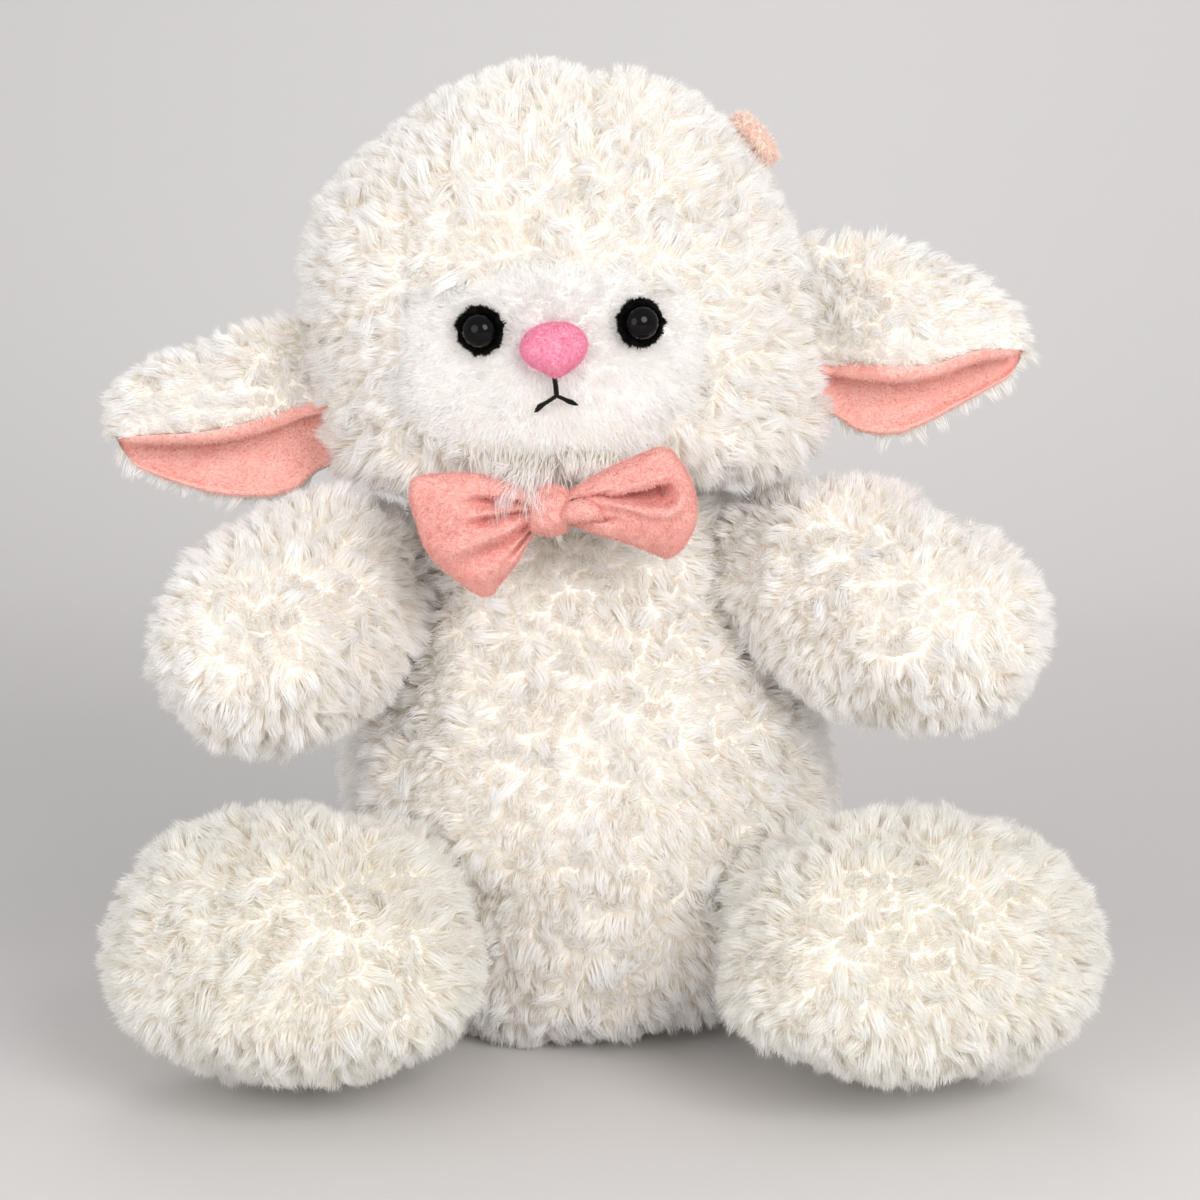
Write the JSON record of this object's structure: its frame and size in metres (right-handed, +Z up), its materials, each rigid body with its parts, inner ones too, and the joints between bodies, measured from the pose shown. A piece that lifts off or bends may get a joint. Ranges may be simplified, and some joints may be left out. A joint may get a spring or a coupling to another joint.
{
  "type": "plush lamb",
  "caption": "Seated plush lamb in long cream fleece with coral-lined folded ears, curled horns, a pink nose, jointed soft limbs and a coral neck bow.",
  "frame": {"origin": "on the floor, in the flat underside of the seat, about midway between the two feet", "axes": "+Z up, the lamb faces -Y, and its own left side is +X"},
  "size_m": [0.2666, 0.2116, 0.2739],
  "materials": {
    "fleece": "long curly pile",
    "velour": "short brushed pile",
    "nose_velour": "short brushed pile",
    "horn_fleece": "curly pile",
    "filling": "loose fibre",
    "pellet_bag": "plain woven",
    "eye": "gloss",
    "ring_pile": "short pile",
    "washer": "matte",
    "thread": "matte"
  },
  "bodies": {
    "torso": {"body_skin": "fleece", "body_stuffing": "filling", "weight_bag": "pellet_bag", "bow_loops": "velour", "bow_knot": "velour", "bow_tack": "velour"},
    "neck": {"neck_stuffing": "filling"},
    "head": {"head_skin": "fleece", "head_stuffing": "filling", "left_eye_dome": "eye", "left_eye_ring": "ring_pile", "left_eye_lock_washer": "washer", "right_eye_dome": "eye", "right_eye_ring": "ring_pile", "right_eye_lock_washer": "washer", "nose_pad": "nose_velour", "mouth_stitch": "thread", "left_horn": "horn_fleece", "right_horn": "horn_fleece"},
    "left_ear": {"left_ear_fleece": "fleece", "left_ear_lining": "velour"},
    "right_ear": {"right_ear_fleece": "fleece", "right_ear_lining": "velour"},
    "left_arm": {"left_arm_skin": "fleece", "left_arm_stuffing": "filling"},
    "right_arm": {"right_arm_skin": "fleece", "right_arm_stuffing": "filling"},
    "left_leg": {"left_leg_skin": "fleece", "left_leg_stuffing": "filling"},
    "right_leg": {"right_leg_skin": "fleece", "right_leg_stuffing": "filling"},
    "tail": {"tail": "fleece"}
  },
  "joints": [
    {"name": "head_turn", "type": "hinge", "parent": "torso", "child": "neck", "pos_m": [-0.01138, 0, 0.1493], "axis": [0, 0, 1], "range_deg": [-20, 20], "stiffness_Nm_per_rad": 0.25},
    {"name": "head_nod", "type": "hinge", "parent": "neck", "child": "head", "pos_m": [-0.01138, 0, 0.1493], "axis": [1, 0, 0], "range_deg": [-10, 3], "stiffness_Nm_per_rad": 0.6},
    {"name": "left_ear_fold", "type": "hinge", "parent": "head", "child": "left_ear", "pos_m": [0.0637, 0, 0.19612], "axis": [-0.0436, 0, 0.999], "range_deg": [-25, 25], "stiffness_Nm_per_rad": 0.02},
    {"name": "right_ear_fold", "type": "hinge", "parent": "head", "child": "right_ear", "pos_m": [-0.08291, 0, 0.17871], "axis": [0.0436, 0, -0.999], "range_deg": [-25, 25], "stiffness_Nm_per_rad": 0.02},
    {"name": "left_arm_swing", "type": "hinge", "parent": "torso", "child": "left_arm", "pos_m": [0.04777, -0.012, 0.127], "axis": [0, 0, 1], "range_deg": [-15, 25], "stiffness_Nm_per_rad": 0.08},
    {"name": "right_arm_swing", "type": "hinge", "parent": "torso", "child": "right_arm", "pos_m": [-0.06484, -0.012, 0.123], "axis": [0, 0, -1], "range_deg": [-15, 25], "stiffness_Nm_per_rad": 0.08},
    {"name": "left_leg_spread", "type": "hinge", "parent": "torso", "child": "left_leg", "pos_m": [0.05924, -0.045, 0.0391], "axis": [0, 0, 1], "range_deg": [-12, 12], "stiffness_Nm_per_rad": 0.15},
    {"name": "right_leg_spread", "type": "hinge", "parent": "torso", "child": "right_leg", "pos_m": [-0.05776, -0.045, 0.0391], "axis": [0, 0, -1], "range_deg": [-12, 12], "stiffness_Nm_per_rad": 0.15},
    {"name": "tail_wag", "type": "hinge", "parent": "torso", "child": "tail", "pos_m": [-0.00085, 0.05905, 0.04], "axis": [0, 0, 1], "range_deg": [-15, 15], "stiffness_Nm_per_rad": 0.01}
  ]
}
